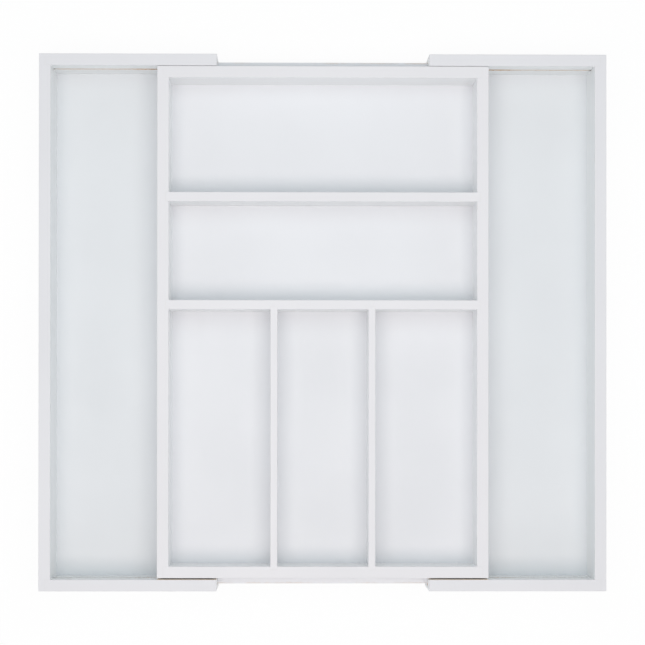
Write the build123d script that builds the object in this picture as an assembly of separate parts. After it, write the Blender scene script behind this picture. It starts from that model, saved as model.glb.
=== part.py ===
from build123d import *
import os

# An extendable cutlery tray: a centre tray with five bays, and a side tray that slides out of it
# to the left and another to the right. All lengths are millimetres. +X is right, +Y is the rear,
# +Z is up. The origin is the middle of the footprint with both side trays pulled fully out, at
# the height of the surface that the tray rests on.

# Overall sizes
tray_depth = 460.0
tray_height = 50.0
centre_width = 284.0
side_bay_width = 91.0

# Boards
wall_thickness = 10.0
cross_divider_thickness = 8.0
slat_thickness = 6.0
floor_thickness = 3.0
edge_easing = 0.4

# Bays of the centre tray, clear between their boards
rear_bay_depth = 98.0
second_bay_depth = 84.5
outer_bay_width = 87.0

# Joints between boards
joint_depth = 5.0
housing_depth = 3.0

# Floors and the gap that the centre tray slides over
side_floor_lift = 3.0
running_gap = 0.5

# Runners of the centre tray, and their play in the arms' grooves
runner_drop = 20.0
runner_height = 5.0
runner_reach = 6.0
runner_inset = 4.0
runner_play = 0.25
runner_tip_gap = 0.5
rear_gap = 0.3
front_gap = 1.2

# Stop strips on the side floors
strip_width = 10.0
strip_thickness = 3.0
strip_end_gap = 2.0
stop_clearance = 0.2

# Brads
brad_length = 20.0
brad_width = 1.2
brad_thickness = 1.0
brad_head_width = 2.0
brad_head_height = 0.6
brad_point = 2.0
brad_sink = 0.5

# How far a cutter runs past the face that it opens
overrun = 1.0

# Places along X, measured out from the middle
centre_outer_x = centre_width / 2
centre_inner_x = centre_outer_x - wall_thickness
side_inner_x = centre_outer_x + side_bay_width
side_outer_x = side_inner_x + wall_thickness
# Closed, the arms of the two side trays meet in the middle.
arm_length = centre_outer_x + wall_thickness
arm_tip_x = side_outer_x - arm_length
slat_outer_x = centre_inner_x - outer_bay_width
slat_inner_x = slat_outer_x - slat_thickness
strip_outer_x = centre_inner_x - stop_clearance
floor_edge_x = strip_outer_x - strip_width

# Places along Y
arm_outer_y = tray_depth / 2
arm_inner_y = arm_outer_y - wall_thickness
rear_outer_y = arm_inner_y - rear_gap
rear_inner_y = rear_outer_y - wall_thickness
front_outer_y = front_gap - arm_inner_y
front_inner_y = front_outer_y + wall_thickness
rear_divider_back_y = rear_inner_y - rear_bay_depth
rear_divider_front_y = rear_divider_back_y - cross_divider_thickness
middle_divider_back_y = rear_divider_front_y - second_bay_depth
middle_divider_front_y = middle_divider_back_y - cross_divider_thickness

# Heights. The centre tray's floor clears the stop strips that pass under it.
side_floor_top_z = side_floor_lift + floor_thickness
centre_bottom_z = side_floor_top_z + running_gap
centre_floor_z = centre_bottom_z + strip_thickness
centre_floor_top_z = centre_floor_z + floor_thickness
runner_top_z = tray_height - runner_drop + runner_height / 2
runner_bottom_z = runner_top_z - runner_height


def block(x_span, y_span, z_span):
    """A square-edged block between two places along each axis, given in either order."""
    spans = (x_span, y_span, z_span)
    sizes = [abs(last - first) for first, last in spans]
    corner = [min(span) for span in spans]
    return Pos(*corner) * Box(*sizes, align=(Align.MIN, Align.MIN, Align.MIN))


def rectangle(x_span, y_span):
    """A flat rectangle between two places along each axis."""
    sizes = [abs(last - first) for first, last in (x_span, y_span)]
    corner = [min(span) for span in (x_span, y_span)]
    return Pos(*corner) * Rectangle(*sizes, align=(Align.MIN, Align.MIN))


def outside_corners(frame):
    """The upright edges at the outside corners of a frame and at the ends of its arms."""
    uprights = frame.edges().filter_by(Axis.Z).group_by(Axis.X)
    return uprights[0] + uprights[-1]


def eased(frame):
    """The frame with its corners, rims and feet sanded over after it was glued up."""
    by_height = frame.faces().filter_by(Axis.Z).group_by(Axis.Z)
    rims = by_height[-1].edges() + by_height[0].edges()
    return fillet(outside_corners(frame) + rims, edge_easing)


def upright_span(side_sign, first, last):
    """A span along X on one side of the tray."""
    return side_sign * first, side_sign * last


def brad_heights(floor_top_z):
    """Where brads go: midway from the floor to the runner, and from the runner to the rim."""
    return (floor_top_z + runner_bottom_z) / 2, (runner_top_z + tray_height) / 2


def brad(head, direction):
    """A flat brad with a chisel point, driven from its head along the given direction."""
    half_head = brad_head_width / 2
    half_shank = brad_width / 2
    shoulder = brad_length - brad_point
    outline = Polyline(
        (0, half_head),
        (brad_head_height, half_head),
        (brad_head_height, half_shank),
        (shoulder, half_shank),
        (brad_length, 0),
        (shoulder, -half_shank),
        (brad_head_height, -half_shank),
        (brad_head_height, -half_head),
        (0, -half_head),
        close=True,
    )
    across = Vector(0, 0, 1).cross(Vector(*direction))
    driven = Plane(origin=head, x_dir=direction, z_dir=across)
    return extrude(driven * make_face(outline), brad_thickness / 2, both=True)


def side_brads(outer_x, y_places, floor_top_z):
    """Brads sunk from a side wall's outer face towards the middle of the tray."""
    sign = 1 if outer_x > 0 else -1
    head_x = outer_x - sign * brad_sink
    return [
        brad((head_x, y, z), (-sign, 0, 0))
        for y in y_places
        for z in brad_heights(floor_top_z)
    ]


def cut(board, *others):
    """The board without the space that other pieces take in it, as one solid."""
    for other in others:
        for solid in other.solids():
            board = board - solid
    return board


# The centre tray's pieces, each as the block that it is cut from

whole_height = (centre_bottom_z, tray_height)
above_floor = (centre_floor_top_z, tray_height)
lap_x = centre_outer_x - joint_depth
housing_x = centre_inner_x + housing_depth
slat_span_y = (front_inner_y - housing_depth, middle_divider_front_y + housing_depth)

rear_wall_block = block((-lap_x, lap_x), (rear_inner_y, rear_outer_y), whole_height)
front_wall_block = block((-lap_x, lap_x), (front_outer_y, front_inner_y), whole_height)
rear_divider_block = block(
    (-housing_x, housing_x), (rear_divider_front_y, rear_divider_back_y), above_floor
)
middle_divider_block = block(
    (-housing_x, housing_x), (middle_divider_front_y, middle_divider_back_y), above_floor
)
left_slat_block = block((-slat_outer_x, -slat_inner_x), slat_span_y, above_floor)
right_slat_block = block((slat_inner_x, slat_outer_x), slat_span_y, above_floor)


def centre_frame():
    """Walls, dividers and slats of the centre tray in one, as they are after sanding."""
    inner_span = (-centre_inner_x, centre_inner_x)
    outside = rectangle((-centre_outer_x, centre_outer_x), (front_outer_y, rear_outer_y))
    inside = rectangle(inner_span, (front_inner_y, rear_inner_y))
    walls = extrude(Pos(0, 0, centre_bottom_z) * (outside - inside), tray_height - centre_bottom_z)
    grid = rectangle(inner_span, (rear_divider_front_y, rear_divider_back_y))
    grid += rectangle(inner_span, (middle_divider_front_y, middle_divider_back_y))
    for sign in (-1, 1):
        slat_span_x = upright_span(sign, slat_inner_x, slat_outer_x)
        grid += rectangle(slat_span_x, (front_inner_y, middle_divider_front_y))
    dividers = extrude(
        Pos(0, 0, centre_floor_top_z) * grid, tray_height - centre_floor_top_z
    )
    return eased(walls + dividers)


def centre_floor():
    """The floor panel, let into a groove all round the walls."""
    return block(
        (-lap_x, lap_x),
        (front_inner_y - joint_depth, rear_inner_y + joint_depth),
        (centre_floor_z, centre_floor_top_z),
    )


def runner(wall_face_y, outward):
    """A strip let into a cross wall's outer face, with its two running edges eased."""
    strip = block(
        (-centre_outer_x, centre_outer_x),
        (wall_face_y - outward * runner_inset, wall_face_y + outward * runner_reach),
        (runner_bottom_z, runner_top_z),
    )
    by_depth = strip.edges().filter_by(Axis.X).group_by(Axis.Y)
    running_edges = by_depth[-1] if outward > 0 else by_depth[0]
    return fillet(running_edges, edge_easing)


def slat_brads():
    """Brads through the front wall and the middle divider into the ends of the slats."""
    slat_middle_x = (slat_inner_x + slat_outer_x) / 2
    pins = []
    for x in (-slat_middle_x, slat_middle_x):
        for z in brad_heights(centre_floor_top_z):
            pins.append(brad((x, front_outer_y + brad_sink, z), (0, 1, 0)))
            pins.append(brad((x, middle_divider_back_y - brad_sink, z), (0, -1, 0)))
    return pins


def both_side_brads(y_places):
    """Brads through both side walls of the centre tray at the given places along Y."""
    pins = []
    for outer_x in (-centre_outer_x, centre_outer_x):
        pins += side_brads(outer_x, y_places, centre_floor_top_z)
    return pins


def centre_tray():
    """Every piece of the centre tray by name."""
    frame = centre_frame()
    floor = centre_floor()
    rear_runner = runner(rear_outer_y, 1)
    front_runner = runner(front_outer_y, -1)
    wall_middles = ((front_outer_y + front_inner_y) / 2, (rear_outer_y + rear_inner_y) / 2)
    divider_middles = (
        (rear_divider_front_y + rear_divider_back_y) / 2,
        (middle_divider_front_y + middle_divider_back_y) / 2,
    )
    corner_pins = Compound(children=both_side_brads(wall_middles))
    divider_pins = Compound(children=both_side_brads(divider_middles))
    slat_pins = Compound(children=slat_brads())
    slats = (left_slat_block, right_slat_block)
    dividers = (rear_divider_block, middle_divider_block)
    walls = cut(
        frame,
        rear_wall_block,
        front_wall_block,
        *dividers,
        *slats,
        floor,
        rear_runner,
        front_runner,
        corner_pins,
        divider_pins,
    )
    left_wall, right_wall = walls.solids().sort_by(Axis.X)
    return {
        "centre_left_wall": left_wall,
        "centre_right_wall": right_wall,
        "centre_rear_wall": cut(frame & rear_wall_block, floor, rear_runner, corner_pins),
        "centre_front_wall": cut(
            frame & front_wall_block, *slats, floor, front_runner, corner_pins, slat_pins
        ),
        "centre_floor": floor,
        "rear_divider": cut(frame & rear_divider_block, divider_pins),
        "middle_divider": cut(frame & middle_divider_block, *slats, divider_pins, slat_pins),
        "left_slat": cut(frame & left_slat_block, slat_pins),
        "right_slat": cut(frame & right_slat_block, slat_pins),
        "rear_runner": rear_runner,
        "front_runner": front_runner,
        "corner_brads": corner_pins,
        "divider_brads": divider_pins,
        "slat_brads": slat_pins,
    }


def side_frame(sign):
    """Side wall and arms of one side tray in one, as they are after sanding."""
    plan = rectangle(
        upright_span(sign, arm_tip_x, side_outer_x), (-arm_outer_y, arm_outer_y)
    )
    plan -= rectangle(
        upright_span(sign, arm_tip_x - overrun, side_inner_x), (-arm_inner_y, arm_inner_y)
    )
    return eased(extrude(plan, tray_height))


def arm_block(sign, end):
    """The block that an arm is cut from, to the bottom of the side wall's rebate."""
    return block(
        upright_span(sign, arm_tip_x, side_inner_x + joint_depth),
        (end * arm_inner_y, end * arm_outer_y),
        (0, tray_height),
    )


def runner_groove(sign, end):
    """The groove that a runner slides in, sawn the whole length of an arm."""
    return block(
        upright_span(sign, arm_tip_x - overrun, side_inner_x + joint_depth),
        (end * (arm_inner_y - overrun), end * (arm_inner_y + runner_reach + runner_tip_gap)),
        (runner_bottom_z - runner_play, runner_top_z + runner_play),
    )


def side_tray(side, sign):
    """Every piece of one side tray by name."""
    frame = side_frame(sign)
    floor_end_y = arm_inner_y + joint_depth
    floor_height = (side_floor_lift, side_floor_top_z)
    housed_x = side_inner_x + joint_depth
    floor = block(
        upright_span(sign, floor_edge_x, housed_x), (-floor_end_y, floor_end_y), floor_height
    )
    floor_groove = block(
        upright_span(sign, arm_tip_x - overrun, housed_x),
        (-floor_end_y, floor_end_y),
        floor_height,
    )
    stop_strip = block(
        upright_span(sign, floor_edge_x, strip_outer_x),
        (front_inner_y + strip_end_gap, rear_inner_y - strip_end_gap),
        (side_floor_top_z, side_floor_top_z + strip_thickness),
    )
    arm_middle_y = (arm_inner_y + arm_outer_y) / 2
    pins = Compound(
        children=side_brads(sign * side_outer_x, (-arm_middle_y, arm_middle_y), side_floor_top_z)
    )
    arms = {
        end: cut(
            frame & arm_block(sign, end), floor_groove, runner_groove(sign, end), pins
        )
        for end in (-1, 1)
    }
    return {
        side + "_side_wall": cut(
            frame, arm_block(sign, -1), arm_block(sign, 1), floor_groove, pins
        ),
        side + "_rear_arm": arms[1],
        side + "_front_arm": arms[-1],
        side + "_floor": floor,
        side + "_stop_strip": stop_strip,
        side + "_corner_brads": pins,
    }


os.makedirs("parts", exist_ok=True)
pieces = centre_tray() | side_tray("left", -1) | side_tray("right", 1)
for node, piece in pieces.items():
    export_step(piece, "parts/" + node + ".step")
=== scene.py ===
import math

import bmesh
import bpy
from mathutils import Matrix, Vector


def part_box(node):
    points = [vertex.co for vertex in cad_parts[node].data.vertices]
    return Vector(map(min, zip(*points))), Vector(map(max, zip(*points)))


# A painted cutlery tray whose side trays slide out to the left and right.
# Lengths are metres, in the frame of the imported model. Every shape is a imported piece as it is:
# this script gives the pieces their finishes and sets up the stage, the light and the camera.

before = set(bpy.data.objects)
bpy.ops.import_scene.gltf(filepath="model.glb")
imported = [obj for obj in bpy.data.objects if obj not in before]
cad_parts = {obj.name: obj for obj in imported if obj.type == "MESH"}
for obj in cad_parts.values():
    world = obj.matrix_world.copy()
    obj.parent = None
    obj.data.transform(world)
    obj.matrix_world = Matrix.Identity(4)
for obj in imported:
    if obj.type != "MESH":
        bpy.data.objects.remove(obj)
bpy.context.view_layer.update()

# Colours of the paint, the wood and the brads, and of the painted shade on the board tops, edges and
# groove ends

board_paint = (0.892, 0.894, 0.900)
# Painted shade: this rim colour darkens the tops of the centre tray's boards against their faces.
board_rim_painted_shade = (0.762, 0.749, 0.771)
side_board_paint = (0.872, 0.882, 0.886)
# Painted shade: this rim colour darkens the tops of the side trays' boards against their faces.
side_rim_painted_shade = (0.742, 0.735, 0.760)
panel_paint = (0.786, 0.790, 0.818)
side_panel_paint = (0.768, 0.785, 0.810)
runner_paint = (0.782, 0.784, 0.812)
paint_shade = 0.955
# Primer grey shows in the seams; on the board edges it is painted shade.
primer_and_shade_grey = (0.700, 0.690, 0.680)
filler_white = (0.830, 0.830, 0.850)
bare_wood_light = (0.612, 0.380, 0.162)
bare_wood_dark = (0.422, 0.232, 0.092)
rubbed_brown = (0.815, 0.680, 0.545)
# Painted shade: a dark brown where the grooves end at the side walls.
groove_end_shade = (0.190, 0.150, 0.115)
brad_steel = (0.560, 0.560, 0.570)
brad_steel_dark = (0.420, 0.415, 0.410)
paper_white = (0.950, 0.950, 0.950)
shown_white = (1.000, 1.000, 1.000)

# Joints of the boards, as they were packed

rebate_depth = 0.005
housing_depth = 0.003
brad_half_thickness = 0.0005
runner_play = 0.0003

# Widths of the marks on the surfaces

arris_width = 0.0008
runner_arris_width = 0.0020
# How far below the top the painted shade on the rims starts and where it is full
rim_shade_start = 0.0008
rim_shade_full = 0.0002
seam_width = 0.00016
filler_radius = 0.0019
paint_creep = 0.0008
groove_reach = 0.0012
spray_start = 0.012
spray_full = 0.036
# Where the painted shade at the groove ends starts and where it is full, short of the side wall
groove_end_shade_start = 0.0020
groove_end_shade_full = 0.0005
face_skin = 0.0003
end_skin = 0.0001

# How strongly each mark shows in the colour

board_tone_share = 0.55
board_streak_share = 0.45
board_shade_start = -0.12
panel_tone_share = 0.80
panel_shade_start = -0.10
# The next share sets the painted shade on the board edges, which dims their highlight.
edge_shade_share = 0.45
seam_share = 0.35
filler_share = 0.60
filler_core = 0.55
sprayed_share = 0.40
runner_rub_share = 0.28
ring_turns = 9.0
bend_turns = 42.0
ring_tint = 0.65
pore_tint = 0.35

# How far each mark stands up, or sinks in where the value is negative, beside the others

stipple_relief = 0.30
streak_relief = 0.45
sag_relief = 0.90
pore_relief = -0.16
seam_relief = -1.20
filler_relief = -0.90

# Roughness that bare wood, filler and rubbing add, and that of a runner's paint

bare_wood_roughness = 0.22
filler_roughness = 0.08
rubbed_roughness = 0.20
runner_roughness = 0.42

# How much a pattern is squeezed along the grain, and how far it moves from one board to the next

grain_squeeze = 0.045
panel_squeeze = 0.2
wire_squeeze = 0.2
board_grain_step = (0.37, 0.11, 0.23)
runner_grain_step = (0.29, 0.0, 0.17)
wood_grain_step = (0.31, 0.07, 0.0)
panel_step = (0.41, 0.19, 0.0)

# Light tent: even light, its left and right walls lit half way up, its front wall low down

tent_colour = (0.910, 0.960, 1.000)
tent_even = 0.345
tent_sides = 2.294
tent_front = 0.671

# Studio floor, just under the tray's feet

floor_half_size = 12.0
floor_drop = 0.0002
floor_glow_share = 0.94

# Camera, almost straight above as the photograph was taken

camera_place = (-0.0258, -0.0734, 1.6852)
camera_turn_degrees = (0.250, -0.602, 0.040)
camera_lens = 106.66
camera_sensor = 36.0
camera_shift_x = 0.015
camera_shift_y = 0.12
camera_near = 0.05
camera_far = 50.0

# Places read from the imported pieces

tray_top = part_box("left_rear_arm")[1].z
arm_inner_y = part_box("left_rear_arm")[0].y
centre_wall_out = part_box("centre_right_wall")[1].x
side_wall_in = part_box("right_side_wall")[0].x
centre_front_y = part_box("centre_front_wall")[0].y
divider_back_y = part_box("middle_divider")[1].y
centre_floor_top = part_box("centre_floor")[1].z
side_floor_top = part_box("left_floor")[1].z
runner_low, runner_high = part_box("rear_runner")
groove_depth = runner_high.y - arm_inner_y + groove_reach
groove_middle_z = (runner_low.z + runner_high.z) / 2
groove_half_height = (runner_high.z - runner_low.z) / 2 + runner_play

# Places of the brads, whose filler shows on the boards

upper_brad_z = (runner_high.z + tray_top) / 2
centre_brads_z = ((centre_floor_top + runner_low.z) / 2, upper_brad_z)
side_brads_z = ((side_floor_top + runner_low.z) / 2, upper_brad_z)
corner_low, corner_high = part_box("corner_brads")
divider_low, divider_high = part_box("divider_brads")
side_low, side_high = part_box("left_corner_brads")
slat_brad_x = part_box("slat_brads")[1].x - brad_half_thickness
side_brads_y = (side_low.y + brad_half_thickness, side_high.y - brad_half_thickness)
centre_brads_y = (
    corner_low.y + brad_half_thickness,
    divider_low.y + brad_half_thickness,
    divider_high.y - brad_half_thickness,
    corner_high.y - brad_half_thickness,
)


# Small steps that the materials and effects are put together from


def plug(tree, value, socket):
    """Sets a socket to a plain value, or joins it to another node's output."""
    if isinstance(value, bpy.types.NodeSocket):
        tree.links.new(value, socket)
    elif isinstance(value, (tuple, Vector)) and len(socket.default_value) == 4:
        socket.default_value = (*value[:3], 1.0)
    else:
        socket.default_value = value


def figure(tree, operation, first, second=0.0, third=0.0, hold=False):
    """A Math node's result, held between 0 and 1 if asked."""
    node = tree.nodes.new("ShaderNodeMath")
    node.operation = operation
    node.use_clamp = hold
    plug(tree, first, node.inputs[0])
    plug(tree, second, node.inputs[1])
    plug(tree, third, node.inputs[2])
    return node.outputs[0]


def vector_math(tree, operation, first, second=(0.0, 0.0, 0.0)):
    """A Vector Math node."""
    node = tree.nodes.new("ShaderNodeVectorMath")
    node.operation = operation
    plug(tree, first, node.inputs[0])
    plug(tree, second, node.inputs[1])
    return node


def parts_of(tree, vector):
    """The x, y and z of a place."""
    node = tree.nodes.new("ShaderNodeSeparateXYZ")
    plug(tree, vector, node.inputs[0])
    return node.outputs[0], node.outputs[1], node.outputs[2]


def fade(tree, value, start, end, low=0.0, high=1.0):
    """A value eased from low at start to high at end."""
    node = tree.nodes.new("ShaderNodeMapRange")
    node.interpolation_type = "SMOOTHSTEP"
    plug(tree, value, node.inputs["Value"])
    plug(tree, start, node.inputs["From Min"])
    plug(tree, end, node.inputs["From Max"])
    plug(tree, low, node.inputs["To Min"])
    plug(tree, high, node.inputs["To Max"])
    return node.outputs["Result"]


def cloud(tree, vector, lumps, detail=2.0, roughness=0.5, distortion=0.0):
    """Noise between 0 and 1 with so many lumps to the metre."""
    node = tree.nodes.new("ShaderNodeTexNoise")
    plug(tree, vector, node.inputs["Vector"])
    node.inputs["Scale"].default_value = lumps
    node.inputs["Detail"].default_value = detail
    node.inputs["Roughness"].default_value = roughness
    node.inputs["Distortion"].default_value = distortion
    return node.outputs["Fac"]


def stretched(tree, vector, scale, moved=(0.0, 0.0, 0.0)):
    """A place moved and scaled, so that a pattern runs along a board."""
    node = tree.nodes.new("ShaderNodeMapping")
    node.vector_type = "POINT"
    plug(tree, vector, node.inputs["Vector"])
    node.inputs["Location"].default_value = moved
    node.inputs["Scale"].default_value = scale
    return node.outputs[0]


def colour_mix(tree, share, first, second):
    """The first colour going over to the second as the share goes from 0 to 1."""
    node = tree.nodes.new("ShaderNodeMix")
    node.data_type = "RGBA"
    node.clamp_factor = True
    plug(tree, share, node.inputs[0])
    plug(tree, first, node.inputs[6])
    plug(tree, second, node.inputs[7])
    return node.outputs[2]


def new_effect(name, inputs, outputs):
    """An empty node group with named inputs and outputs, and its two end nodes."""
    tree = bpy.data.node_groups.new(name, "ShaderNodeTree")
    for socket_name, kind in inputs:
        tree.interface.new_socket(name=socket_name, in_out="INPUT", socket_type=kind)
    for socket_name, kind in outputs:
        tree.interface.new_socket(name=socket_name, in_out="OUTPUT", socket_type=kind)
    return tree, tree.nodes.new("NodeGroupInput"), tree.nodes.new("NodeGroupOutput")


def use_effect(tree, effect, **values):
    """Places an effect in a material, with its inputs named in the call."""
    node = tree.nodes.new("ShaderNodeGroup")
    node.node_tree = effect
    for name, value in values.items():
        plug(tree, value, node.inputs[name.replace("_", " ")])
    return node


# Effects that several finishes share


def make_arris_effect():
    """How near a place on a board is to the board's nearest edge, and a patchy mask along the edges:
    rubbed paint on the runners, painted shade on the boards.
    """
    tree, given, result = new_effect(
        "board_arris",
        [
            ("Place", "NodeSocketVector"),
            ("Middle", "NodeSocketVector"),
            ("Half size", "NodeSocketVector"),
            ("Width", "NodeSocketFloat"),
        ],
        [("Reach", "NodeSocketFloat"), ("Edge wear and shade", "NodeSocketFloat")],
    )
    place = given.outputs["Place"]
    width = given.outputs["Width"]
    offset = vector_math(tree, "SUBTRACT", place, given.outputs["Middle"]).outputs[0]
    offset = vector_math(tree, "ABSOLUTE", offset).outputs[0]
    depths = vector_math(tree, "SUBTRACT", given.outputs["Half size"], offset).outputs[0]
    x, y, z = parts_of(tree, depths)
    least = figure(tree, "MINIMUM", x, y)
    most = figure(tree, "MAXIMUM", x, y)
    reach = figure(tree, "MAXIMUM", least, figure(tree, "MINIMUM", most, z))
    patches = cloud(tree, place, lumps=55.0, detail=3.0, roughness=0.6)
    nibbles = cloud(tree, place, lumps=620.0, roughness=0.6)
    ragged = figure(tree, "MULTIPLY", figure(tree, "SUBTRACT", nibbles, 0.5), width)
    near = fade(tree, figure(tree, "ADD", reach, ragged), start=width, end=0.0)
    # Patchy mask along the edges: rubbed paint where the runners use it, painted shade where the boards
    # use it.
    edge_wear_and_shade = figure(tree, "MULTIPLY", near, fade(tree, patches, start=0.42, end=0.68))
    tree.links.new(reach, result.inputs["Reach"])
    tree.links.new(edge_wear_and_shade, result.inputs["Edge wear and shade"])
    return tree


def make_paint_effect():
    """The surface of satin paint on wood: roller stipple, soft grain lines and slow changes of tone."""
    tree, given, result = new_effect(
        "satin_paint",
        [("Place", "NodeSocketVector"), ("Along", "NodeSocketVector")],
        [
            ("Relief", "NodeSocketFloat"),
            ("Streak", "NodeSocketFloat"),
            ("Tone", "NodeSocketFloat"),
        ],
    )
    place = given.outputs["Place"]
    along = given.outputs["Along"]
    streak = cloud(tree, along, lumps=260.0, detail=4.0, roughness=0.55, distortion=0.4)
    pores = fade(tree, cloud(tree, along, lumps=1150.0), start=0.60, end=0.74)
    stipple = cloud(tree, place, lumps=1250.0, roughness=0.55)
    sags = cloud(tree, place, lumps=70.0)
    tone = cloud(tree, place, lumps=11.0, detail=3.0, roughness=0.55)
    relief = figure(tree, "MULTIPLY", stipple, stipple_relief)
    relief = figure(tree, "MULTIPLY_ADD", streak, streak_relief, relief)
    relief = figure(tree, "MULTIPLY_ADD", sags, sag_relief, relief)
    relief = figure(tree, "MULTIPLY_ADD", pores, pore_relief, relief)
    tree.links.new(relief, result.inputs["Relief"])
    tree.links.new(streak, result.inputs["Streak"])
    tree.links.new(tone, result.inputs["Tone"])
    return tree


def make_timber_effect():
    """Planed bare timber: growth rings seen along the board, pores and a little colour change."""
    tree, given, result = new_effect(
        "bare_timber",
        [("Along", "NodeSocketVector")],
        [("Colour", "NodeSocketColor"), ("Relief", "NodeSocketFloat")],
    )
    along = given.outputs["Along"]
    bend = cloud(tree, along, lumps=36.0)
    rings = cloud(tree, along, lumps=190.0, detail=3.0, distortion=1.2)
    rings = figure(tree, "MULTIPLY", rings, ring_turns)
    lines = figure(tree, "SINE", figure(tree, "MULTIPLY_ADD", bend, bend_turns, rings))
    lines = fade(tree, lines, start=-0.7, end=1.0)
    pores = fade(tree, cloud(tree, along, lumps=900.0, roughness=0.6), start=0.55, end=0.75)
    tint = figure(tree, "MULTIPLY", lines, ring_tint)
    tint = figure(tree, "MULTIPLY_ADD", pores, pore_tint, tint, hold=True)
    colour = colour_mix(tree, tint, bare_wood_light, bare_wood_dark)
    tree.links.new(colour, result.inputs["Colour"])
    tree.links.new(figure(tree, "SUBTRACT", 1.0, tint), result.inputs["Relief"])
    return tree


def make_filler_effect():
    """The round mark of a brad that was sunk, filled and painted over."""
    tree, given, result = new_effect(
        "filled_brad",
        [
            ("Place", "NodeSocketVector"),
            ("Brad", "NodeSocketVector"),
            ("Radius", "NodeSocketFloat"),
        ],
        [("Mark", "NodeSocketFloat")],
    )
    place = given.outputs["Place"]
    radius = given.outputs["Radius"]
    offset = vector_math(tree, "SUBTRACT", place, given.outputs["Brad"]).outputs[0]
    away = vector_math(tree, "LENGTH", offset).outputs["Value"]
    uneven = figure(tree, "SUBTRACT", cloud(tree, place, lumps=800.0, detail=1.0), 0.5)
    away = figure(tree, "MULTIPLY_ADD", uneven, radius, away)
    inner = figure(tree, "MULTIPLY", radius, filler_core)
    tree.links.new(fade(tree, away, start=radius, end=inner), result.inputs["Mark"])
    return tree


arris_effect = make_arris_effect()
paint_effect = make_paint_effect()
timber_effect = make_timber_effect()
filler_effect = make_filler_effect()


# Finishes


def new_finish(name):
    """A material with only its shader and its output."""
    material = bpy.data.materials.new(name)
    material.use_nodes = True
    tree = material.node_tree
    tree.nodes.clear()
    shader = tree.nodes.new("ShaderNodeBsdfPrincipled")
    output = tree.nodes.new("ShaderNodeOutputMaterial")
    tree.links.new(shader.outputs[0], output.inputs["Surface"])
    return material, tree, shader


def object_place(tree):
    """The place on the piece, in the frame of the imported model."""
    return tree.nodes.new("ShaderNodeTexCoord").outputs["Object"]


def steps_away(step, number):
    """Where a pattern lies on the board with this number."""
    return tuple(part * number for part in step)


def grain_along(tree, place, run, step, number):
    """A place squeezed along the direction in which the board's grain runs."""
    squeeze = {"x": (grain_squeeze, 1.0, 1.0), "y": (1.0, grain_squeeze, 1.0)}[run]
    return stretched(tree, place, squeeze, steps_away(step, number))


def bump(tree, shader, height, distance, strength):
    """Raises and sinks the surface with a pattern."""
    node = tree.nodes.new("ShaderNodeBump")
    node.inputs["Strength"].default_value = strength
    node.inputs["Distance"].default_value = distance
    tree.links.new(height, node.inputs["Height"])
    tree.links.new(node.outputs[0], shader.inputs["Normal"])


def shaded(colour):
    """A paint's colour where it is a little darker."""
    return tuple(channel * paint_shade for channel in colour)


def board_size(node):
    """The middle and half size of a packed board."""
    low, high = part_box(node)
    return (low + high) / 2, (high - low) / 2


def housed_ends(tree, place, node, run, depth):
    """1 on the ends of a board that are let into its neighbours, 0 between them."""
    middle, half = board_size(node)
    axis = "xyz".index(run)
    coordinate = parts_of(tree, place)[axis]
    offset = figure(tree, "ABSOLUTE", figure(tree, "SUBTRACT", coordinate, middle[axis]))
    return figure(tree, "GREATER_THAN", offset, half[axis] - depth - end_skin)


def groove_masks(tree, place):
    """How bare the wood is inside the grooves that the runners slide in, and where painted shade darkens
    their ends at the side walls.
    """
    x, y, z = parts_of(tree, place)
    depth = figure(tree, "SUBTRACT", figure(tree, "ABSOLUTE", y), arm_inner_y)
    height = figure(tree, "ABSOLUTE", figure(tree, "SUBTRACT", z, groove_middle_z))
    paint_edge = figure(tree, "MULTIPLY", cloud(tree, place, lumps=420.0), paint_creep)
    inside = figure(tree, "GREATER_THAN", depth, paint_edge)
    inside = figure(tree, "MULTIPLY", inside, figure(tree, "LESS_THAN", depth, groove_depth))
    inside = figure(tree, "MULTIPLY", inside, figure(tree, "LESS_THAN", height, groove_half_height))
    out = figure(tree, "ABSOLUTE", x)
    beside_wall = centre_wall_out + spray_start
    further_out = centre_wall_out + spray_full
    sprayed = fade(tree, out, beside_wall, further_out, low=1.0, high=sprayed_share)
    # Painted shade: darker towards the end of the groove at the side wall.
    painted_end_shade = fade(tree, out, side_wall_in - groove_end_shade_start, side_wall_in - groove_end_shade_full)
    return figure(tree, "MULTIPLY", inside, sprayed), figure(tree, "MULTIPLY", inside, painted_end_shade)


def rubbed_face(tree, place):
    """1 on the inner faces of the front arms where the centre tray's front wall slides on them."""
    x, y, z = parts_of(tree, place)
    face = figure(tree, "GREATER_THAN", y, -arm_inner_y - face_skin)
    face = figure(tree, "MULTIPLY", face, figure(tree, "LESS_THAN", y, 0.0))
    hidden = figure(tree, "LESS_THAN", figure(tree, "ABSOLUTE", x), centre_wall_out)
    patches = fade(tree, cloud(tree, place, lumps=90.0), start=0.25, end=0.60, low=0.45, high=0.95)
    return figure(tree, "MULTIPLY", figure(tree, "MULTIPLY", face, hidden), patches)


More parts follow.
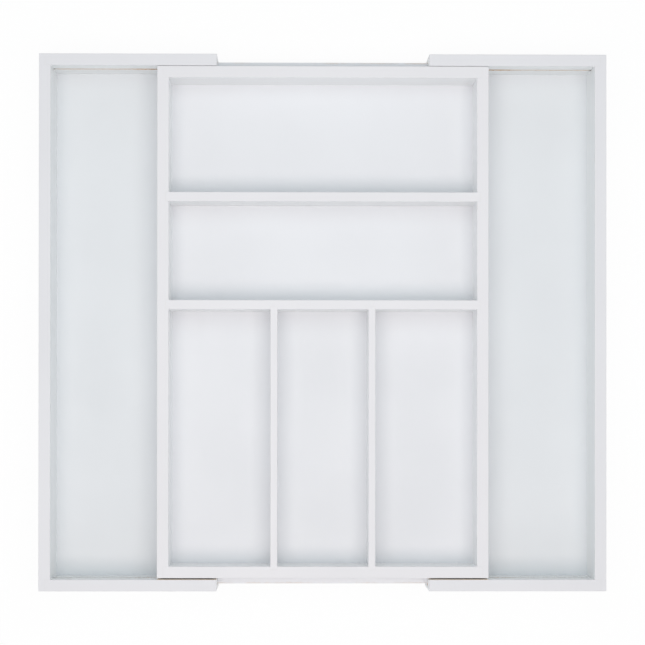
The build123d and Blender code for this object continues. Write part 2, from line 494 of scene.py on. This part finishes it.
def paint_board(node, run, paint, rim_shade_paint, number, housed=0.0, brads=(), groove=False):
    """White satin paint over a solid wood board; its top rim is coloured darker than its faces, which is
    painted shade.
    """
    material, tree, shader = new_finish(node + "_paint")
    place = object_place(tree)
    middle, half = board_size(node)
    along = grain_along(tree, place, run, board_grain_step, number)
    surface = use_effect(tree, paint_effect, Place=place, Along=along)
    arris = use_effect(tree, arris_effect, Place=place, Middle=middle, Half_size=half, Width=arris_width)
    tone = surface.outputs["Tone"]
    streak = surface.outputs["Streak"]
    shade = figure(tree, "MULTIPLY_ADD", tone, board_tone_share, board_shade_start)
    shade = figure(tree, "MULTIPLY_ADD", streak, board_streak_share, shade, hold=True)
    height = parts_of(tree, place)[2]
    # Painted shade: the top rim of the board is coloured darker than its faces.
    rim = fade(tree, height, start=tray_top - rim_shade_start, end=tray_top - rim_shade_full)
    coat = colour_mix(tree, rim, paint, rim_shade_paint)
    shaded_coat = colour_mix(tree, rim, shaded(paint), shaded(rim_shade_paint))
    colour = colour_mix(tree, shade, coat, shaded_coat)
    # Painted shade: the board edges are greyed in patches, which dims the highlight on the rounded
    # arrises.
    thin = figure(tree, "MULTIPLY", arris.outputs["Edge wear and shade"], edge_shade_share)
    colour = colour_mix(tree, thin, colour, primer_and_shade_grey)
    relief = surface.outputs["Relief"]
    roughness = fade(tree, tone, start=0.25, end=0.75, low=0.40, high=0.50)
    if housed:
        seam = figure(tree, "LESS_THAN", arris.outputs["Reach"], seam_width)
        seam = figure(tree, "MULTIPLY", seam, housed_ends(tree, place, node, run, housed))
        colour = colour_mix(tree, figure(tree, "MULTIPLY", seam, seam_share), colour, primer_and_shade_grey)
        relief = figure(tree, "MULTIPLY_ADD", seam, seam_relief, relief)
    for brad in brads:
        filled = use_effect(tree, filler_effect, Place=place, Brad=brad, Radius=filler_radius)
        mark = filled.outputs["Mark"]
        colour = colour_mix(tree, figure(tree, "MULTIPLY", mark, filler_share), colour, filler_white)
        relief = figure(tree, "MULTIPLY_ADD", mark, filler_relief, relief)
        roughness = figure(tree, "MULTIPLY_ADD", mark, filler_roughness, roughness)
    if groove:
        timber = use_effect(tree, timber_effect, Along=along)
        bare, painted_end_shade = groove_masks(tree, place)
        colour = colour_mix(tree, bare, colour, timber.outputs["Colour"])
        # Painted shade at the groove ends.
        colour = colour_mix(tree, painted_end_shade, colour, groove_end_shade)
        colour = colour_mix(tree, rubbed_face(tree, place), colour, rubbed_brown)
        roughness = figure(tree, "MULTIPLY_ADD", bare, bare_wood_roughness, roughness)
    tree.links.new(colour, shader.inputs["Base Color"])
    tree.links.new(roughness, shader.inputs["Roughness"])
    bump(tree, shader, relief, distance=0.00012, strength=0.55)
    return material


def paint_panel(node, paint, number):
    """White paint rolled on a thin floor panel, with no grain."""
    material, tree, shader = new_finish(node + "_paint")
    place = stretched(tree, object_place(tree), (1.0, 1.0, 1.0), steps_away(panel_step, number))
    along = stretched(tree, place, (1.0, panel_squeeze, 1.0))
    surface = use_effect(tree, paint_effect, Place=place, Along=along)
    tone = surface.outputs["Tone"]
    shade = figure(tree, "MULTIPLY_ADD", tone, panel_tone_share, panel_shade_start, hold=True)
    colour = colour_mix(tree, shade, paint, shaded(paint))
    roughness = fade(tree, tone, start=0.25, end=0.75, low=0.44, high=0.56)
    tree.links.new(colour, shader.inputs["Base Color"])
    tree.links.new(roughness, shader.inputs["Roughness"])
    bump(tree, shader, surface.outputs["Relief"], distance=0.00009, strength=0.5)
    return material


def paint_runner(node, number):
    """A hardwood strip with a light coat of paint, rubbed through along the edge that runs in the
    groove.
    """
    material, tree, shader = new_finish(node + "_paint")
    place = object_place(tree)
    middle, half = board_size(node)
    along = grain_along(tree, place, "x", runner_grain_step, number)
    surface = use_effect(tree, paint_effect, Place=place, Along=along)
    timber = use_effect(tree, timber_effect, Along=along)
    width = runner_arris_width
    arris = use_effect(tree, arris_effect, Place=place, Middle=middle, Half_size=half, Width=width)
    colour = colour_mix(tree, surface.outputs["Streak"], runner_paint, shaded(runner_paint))
    rubbed = figure(tree, "MULTIPLY", arris.outputs["Edge wear and shade"], runner_rub_share)
    colour = colour_mix(tree, rubbed, colour, timber.outputs["Colour"])
    roughness = figure(tree, "MULTIPLY_ADD", rubbed, rubbed_roughness, runner_roughness)
    tree.links.new(colour, shader.inputs["Base Color"])
    tree.links.new(roughness, shader.inputs["Roughness"])
    bump(tree, shader, surface.outputs["Relief"], distance=0.00010, strength=0.5)
    return material


def plane_wood(name, run, number):
    """Bare planed wood."""
    material, tree, shader = new_finish(name)
    along = grain_along(tree, object_place(tree), run, wood_grain_step, number)
    timber = use_effect(tree, timber_effect, Along=along)
    roughness = fade(tree, timber.outputs["Relief"], start=0.0, end=1.0, low=0.72, high=0.60)
    tree.links.new(timber.outputs["Colour"], shader.inputs["Base Color"])
    tree.links.new(roughness, shader.inputs["Roughness"])
    bump(tree, shader, timber.outputs["Relief"], distance=0.00012, strength=0.5)
    return material


def draw_steel(name):
    """Bright drawn steel wire with a few darker draw marks."""
    material, tree, shader = new_finish(name)
    drawn = stretched(tree, object_place(tree), (wire_squeeze, 1.0, 1.0))
    marks = cloud(tree, drawn, lumps=1800.0, detail=3.0, roughness=0.6)
    colour = colour_mix(tree, fade(tree, marks, start=0.4, end=0.7), brad_steel, brad_steel_dark)
    roughness = fade(tree, marks, start=0.3, end=0.7, low=0.26, high=0.42)
    tree.links.new(colour, shader.inputs["Base Color"])
    tree.links.new(roughness, shader.inputs["Roughness"])
    shader.inputs["Metallic"].default_value = 1.0
    bump(tree, shader, marks, distance=0.00003, strength=0.4)
    return material


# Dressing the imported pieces


def finish_node(node, material):
    """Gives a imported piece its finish."""
    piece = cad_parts[node]
    piece.data.materials.clear()
    piece.data.materials.append(material)


def side_marks(outer_x, y_places, z_places):
    """Places of the filler over the brads in a wall that faces left or right."""
    return [(outer_x, y, z) for y in y_places for z in z_places]


def slat_marks(face_y):
    """Places of the filler over the brads that hold the ends of the slats."""
    return [(x, face_y, z) for x in (-slat_brad_x, slat_brad_x) for z in centre_brads_z]


def finish_centre_board(node, run, number, housed=0.0, brads=()):
    """Paints a board of the centre tray."""
    paint = paint_board(node, run, board_paint, board_rim_painted_shade, number, housed=housed, brads=brads)
    finish_node(node, paint)


def finish_centre_tray():
    """Walls, dividers, slats and runners of the centre tray."""
    left_marks = side_marks(-centre_wall_out, centre_brads_y, centre_brads_z)
    right_marks = side_marks(centre_wall_out, centre_brads_y, centre_brads_z)
    finish_centre_board("centre_left_wall", "y", 1, brads=left_marks)
    finish_centre_board("centre_right_wall", "y", 2, brads=right_marks)
    finish_centre_board("centre_rear_wall", "x", 3, housed=rebate_depth)
    front_marks = slat_marks(centre_front_y)
    finish_centre_board("centre_front_wall", "x", 4, housed=rebate_depth, brads=front_marks)
    finish_centre_board("rear_divider", "x", 5, housed=housing_depth)
    divider_marks = slat_marks(divider_back_y)
    finish_centre_board("middle_divider", "x", 6, housed=housing_depth, brads=divider_marks)
    finish_centre_board("left_slat", "y", 7, housed=housing_depth)
    finish_centre_board("right_slat", "y", 8, housed=housing_depth)
    finish_node("rear_runner", paint_runner("rear_runner", 9))
    finish_node("front_runner", paint_runner("front_runner", 10))
    finish_node("centre_floor", paint_panel("centre_floor", panel_paint, 3))
    for node in ("corner_brads", "divider_brads", "slat_brads"):
        finish_node(node, draw_steel(node + "_steel"))


def finish_side_board(node, run, number, housed=0.0, brads=(), groove=False):
    """Paints a board of a side tray."""
    paint = paint_board(
        node, run, side_board_paint, side_rim_painted_shade, number, housed=housed, brads=brads, groove=groove
    )
    finish_node(node, paint)


def finish_side_tray(side, sign, row):
    """Wall, arms, floor, stop strip and brads of one side tray, each with its own stretch of grain."""
    outer_x = sign * max(abs(corner.x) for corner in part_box(side + "_side_wall"))
    marks = side_marks(outer_x, side_brads_y, side_brads_z)
    finish_side_board(side + "_side_wall", "y", 11 + row, brads=marks)
    finish_side_board(side + "_rear_arm", "x", 13 + 2 * row, housed=rebate_depth, groove=True)
    finish_side_board(side + "_front_arm", "x", 14 + 2 * row, housed=rebate_depth, groove=True)
    finish_node(side + "_floor", paint_panel(side + "_floor", side_panel_paint, 1 + row))
    finish_node(side + "_stop_strip", plane_wood(side + "_strip_wood", "y", 1 + row))
    finish_node(side + "_corner_brads", draw_steel(side + "_brad_steel"))


finish_centre_tray()
finish_side_tray("left", -1, 0)
finish_side_tray("right", 1, 1)


# Stage: a pale floor that shows white and keeps a soft shadow


def seen_directly(tree):
    """1 for rays from the camera, from reflections and through glass, 0 for light that bounces."""
    rays = tree.nodes.new("ShaderNodeLightPath")
    shown = figure(tree, "MAXIMUM", rays.outputs["Is Camera Ray"], rays.outputs["Is Glossy Ray"])
    return figure(tree, "MAXIMUM", shown, rays.outputs["Is Transmission Ray"])


def make_floor():
    """A large sheet of white paper under the tray."""
    mesh = bpy.data.meshes.new("studio_floor")
    shape = bmesh.new()
    bmesh.ops.create_grid(shape, x_segments=1, y_segments=1, size=floor_half_size)
    shape.to_mesh(mesh)
    shape.free()
    floor = bpy.data.objects.new("studio_floor", mesh)
    floor.location.z = -floor_drop
    bpy.context.scene.collection.objects.link(floor)
    material = bpy.data.materials.new("studio_floor_white")
    material.use_nodes = True
    tree = material.node_tree
    tree.nodes.clear()
    paper = tree.nodes.new("ShaderNodeBsdfDiffuse")
    plug(tree, paper_white, paper.inputs["Color"])
    glow = tree.nodes.new("ShaderNodeEmission")
    plug(tree, shown_white, glow.inputs["Color"])
    glow.inputs["Strength"].default_value = 1.0
    both = tree.nodes.new("ShaderNodeMixShader")
    plug(tree, figure(tree, "MULTIPLY", seen_directly(tree), floor_glow_share), both.inputs[0])
    tree.links.new(paper.outputs[0], both.inputs[1])
    tree.links.new(glow.outputs[0], both.inputs[2])
    output = tree.nodes.new("ShaderNodeOutputMaterial")
    tree.links.new(both.outputs[0], output.inputs["Surface"])
    mesh.materials.append(material)


def make_world():
    """The light tent, which shows plain white where it is seen directly."""
    world = bpy.data.worlds.new("light_tent")
    bpy.context.scene.world = world
    world.use_nodes = True
    tree = world.node_tree
    tree.nodes.clear()
    direction = tree.nodes.new("ShaderNodeTexCoord").outputs["Generated"]
    x, y, z = parts_of(tree, direction)
    height = figure(tree, "MAXIMUM", z, 0.0)
    lowness = figure(tree, "SUBTRACT", 1.0, height)
    half_way = figure(tree, "MULTIPLY", height, lowness)
    sides = figure(tree, "MULTIPLY", half_way, figure(tree, "ABSOLUTE", x))
    low_down = figure(tree, "POWER", lowness, 2.0)
    front = figure(tree, "MULTIPLY", low_down, figure(tree, "MINIMUM", y, 0.0))
    level = figure(tree, "MULTIPLY_ADD", sides, tent_sides, tent_even)
    level = figure(tree, "MULTIPLY_ADD", front, -tent_front, level)
    fill = tree.nodes.new("ShaderNodeBackground")
    plug(tree, tent_colour, fill.inputs["Color"])
    plug(tree, level, fill.inputs["Strength"])
    shown = tree.nodes.new("ShaderNodeBackground")
    plug(tree, shown_white, shown.inputs["Color"])
    shown.inputs["Strength"].default_value = 1.0
    both = tree.nodes.new("ShaderNodeMixShader")
    plug(tree, seen_directly(tree), both.inputs[0])
    tree.links.new(fill.outputs[0], both.inputs[1])
    tree.links.new(shown.outputs[0], both.inputs[2])
    output = tree.nodes.new("ShaderNodeOutputWorld")
    tree.links.new(both.outputs[0], output.inputs["Surface"])


def make_softbox(name, place, target, size, power, colour):
    """A rectangular studio lamp turned to a target."""
    light = bpy.data.lights.new(name, "AREA")
    light.shape = "RECTANGLE"
    light.size, light.size_y = size
    light.energy = power
    light.color = colour
    lamp = bpy.data.objects.new(name, light)
    lamp.location = place
    lamp.rotation_euler = (Vector(target) - Vector(place)).to_track_quat("-Z", "Y").to_euler()
    lamp.visible_camera = False
    bpy.context.scene.collection.objects.link(lamp)


def make_camera():
    """A long lens, almost straight above."""
    data = bpy.data.cameras.new("camera")
    data.sensor_width = camera_sensor
    data.lens = camera_lens
    data.shift_x = camera_shift_x
    data.shift_y = camera_shift_y
    data.clip_start = camera_near
    data.clip_end = camera_far
    camera = bpy.data.objects.new("camera", data)
    camera.location = camera_place
    camera.rotation_euler = [math.radians(angle) for angle in camera_turn_degrees]
    bpy.context.scene.collection.objects.link(camera)
    bpy.context.scene.camera = camera


make_floor()
make_world()
make_softbox(
    "front_softbox",
    place=(0.0, -0.7, 2.4),
    target=(0.0, 0.0, 0.0),
    size=(2.0, 0.9),
    power=17.3,
    colour=(1.000, 0.861, 0.805),
)
make_softbox(
    "top_softbox",
    place=(0.0, 0.12, 1.0),
    target=(0.0, 0.12, 0.0),
    size=(0.85, 0.85),
    power=3.20,
    colour=(0.913, 1.000, 0.992),
)
make_camera()
bpy.context.scene.view_settings.view_transform = "Standard"
